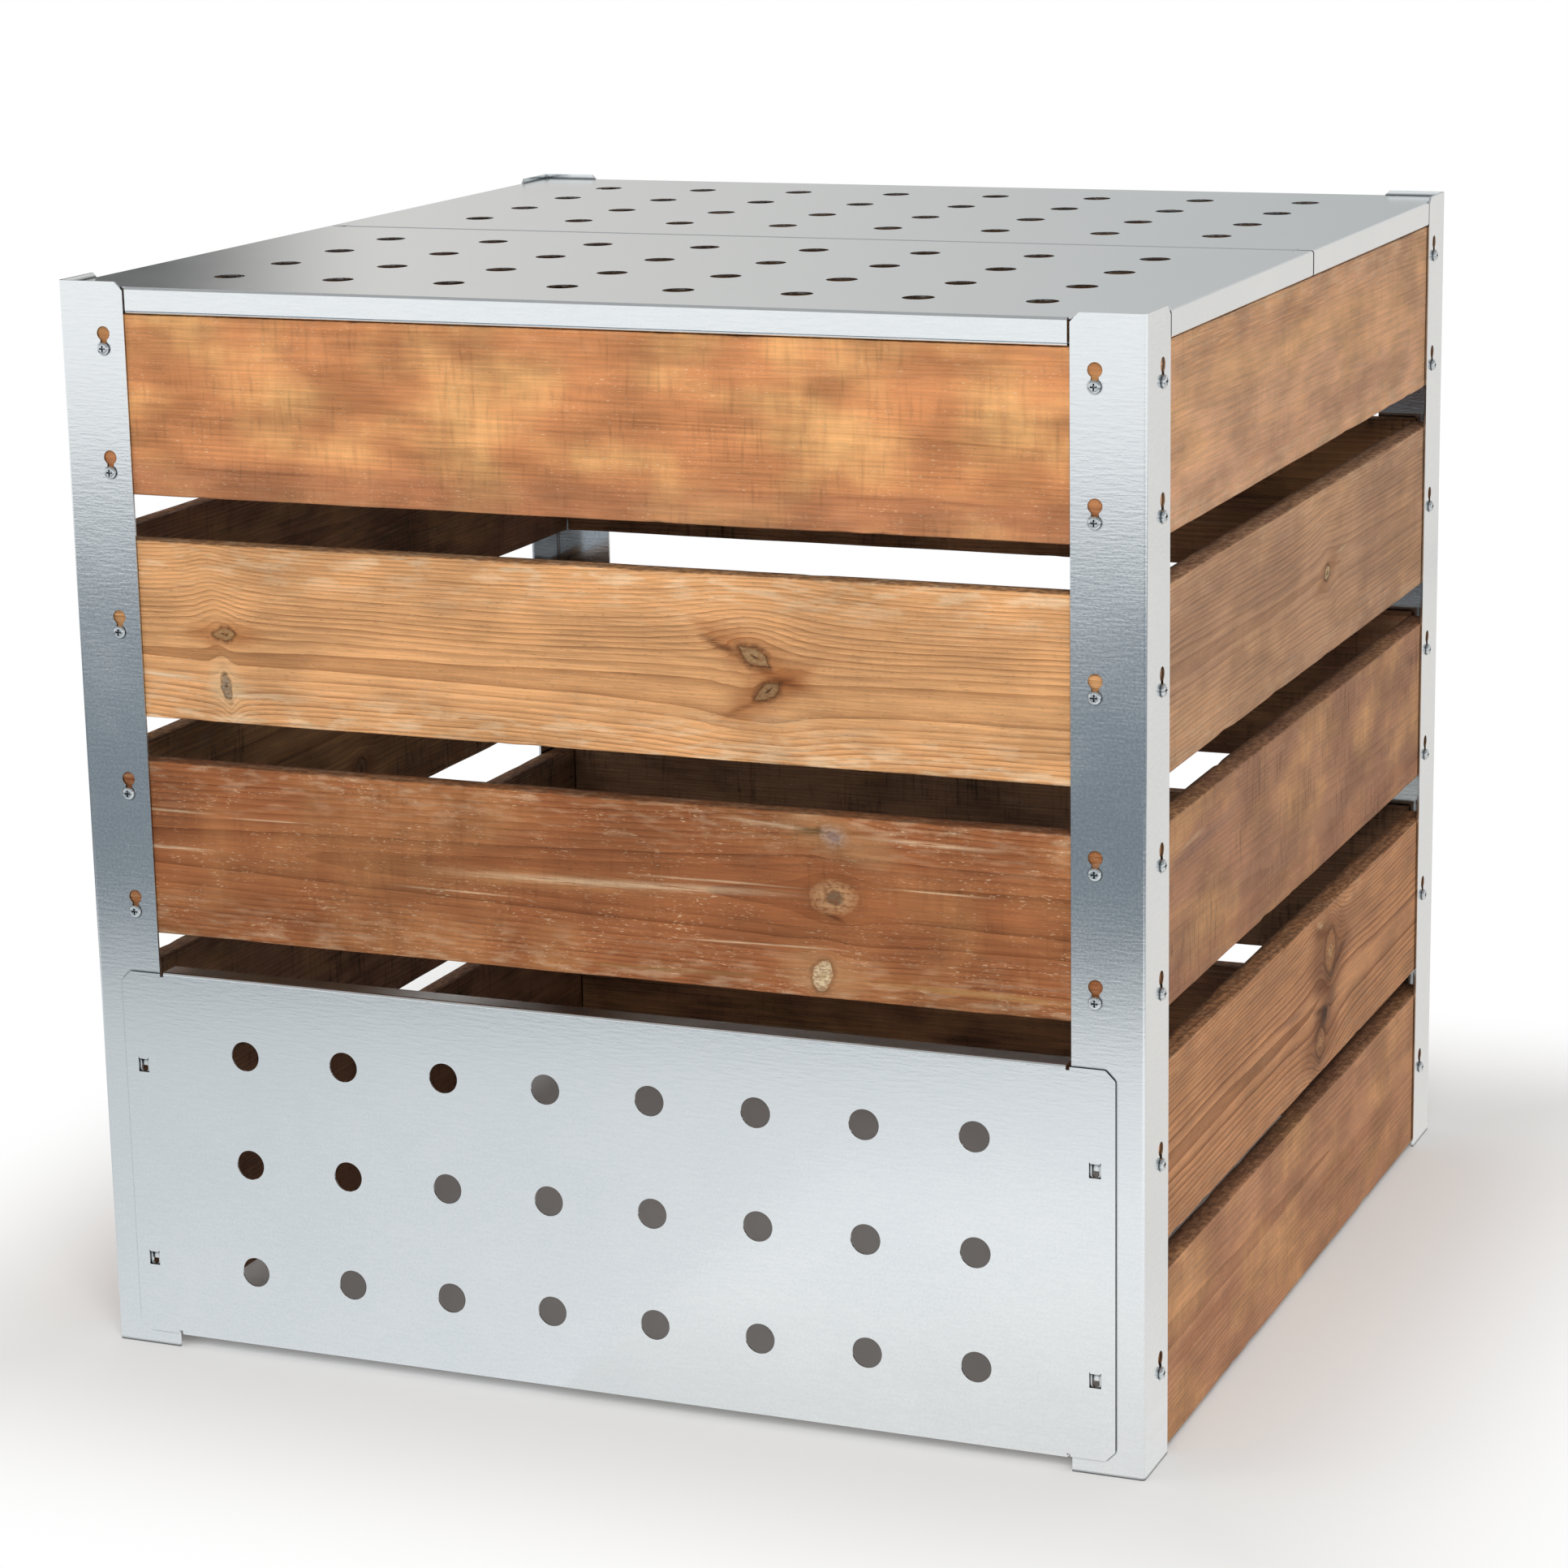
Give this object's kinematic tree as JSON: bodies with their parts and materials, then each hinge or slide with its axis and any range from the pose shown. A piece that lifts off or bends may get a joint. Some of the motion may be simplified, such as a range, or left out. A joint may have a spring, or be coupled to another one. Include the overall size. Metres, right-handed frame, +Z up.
{
  "type": "compost bin",
  "caption": "Square open-bottomed compost bin of spaced timber boards hooked on galvanised corner posts, with a perforated lift-out hatch and a perforated lid of loose trays.",
  "frame": {"origin": "on the ground at the middle of the plan", "axes": "+Z up, -Y towards the front, where the hatch is, +X to the right as seen from the front"},
  "size_m": [0.9064, 0.9064, 0.8902],
  "materials": {
    "galvanised_sheet": "hot-dip galvanised sheet, satin, with faint spangle",
    "impregnated_pine": "brown impregnated pine, fine sawn, with knots",
    "zinc_plated_screw": "bright zinc plate"
  },
  "bodies": {
    "bin_frame": {"front_left_post": "galvanised_sheet", "front_right_post": "galvanised_sheet", "back_left_post": "galvanised_sheet", "back_right_post": "galvanised_sheet", "front_board_1": "impregnated_pine", "front_board_2": "impregnated_pine", "front_board_3": "impregnated_pine", "right_board_1": "impregnated_pine", "right_board_2": "impregnated_pine", "right_board_3": "impregnated_pine", "right_board_4": "impregnated_pine", "right_board_5": "impregnated_pine", "back_board_1": "impregnated_pine", "back_board_2": "impregnated_pine", "back_board_3": "impregnated_pine", "back_board_4": "impregnated_pine", "back_board_5": "impregnated_pine", "left_board_1": "impregnated_pine", "left_board_2": "impregnated_pine", "left_board_3": "impregnated_pine", "left_board_4": "impregnated_pine", "left_board_5": "impregnated_pine", "screws_front": "zinc_plated_screw", "screws_right": "zinc_plated_screw", "screws_back": "zinc_plated_screw", "screws_left": "zinc_plated_screw"},
    "hatch_panel": {"hatch": "galvanised_sheet"},
    "front_lid_panel": {"lid_front": "galvanised_sheet"},
    "rear_lid_panel": {"lid_rear": "galvanised_sheet"}
  },
  "joints": [
    {"name": "hatch_lift", "type": "slide", "parent": "bin_frame", "child": "hatch_panel", "axis": [0, 0, 1], "range_m": [0, 0.006]},
    {"name": "lid_front_lift", "type": "slide", "parent": "bin_frame", "child": "front_lid_panel", "axis": [0, 0, 1], "range_m": [0, 0.12]},
    {"name": "lid_rear_lift", "type": "slide", "parent": "bin_frame", "child": "rear_lid_panel", "axis": [0, 0, 1], "range_m": [0, 0.12]}
  ]
}
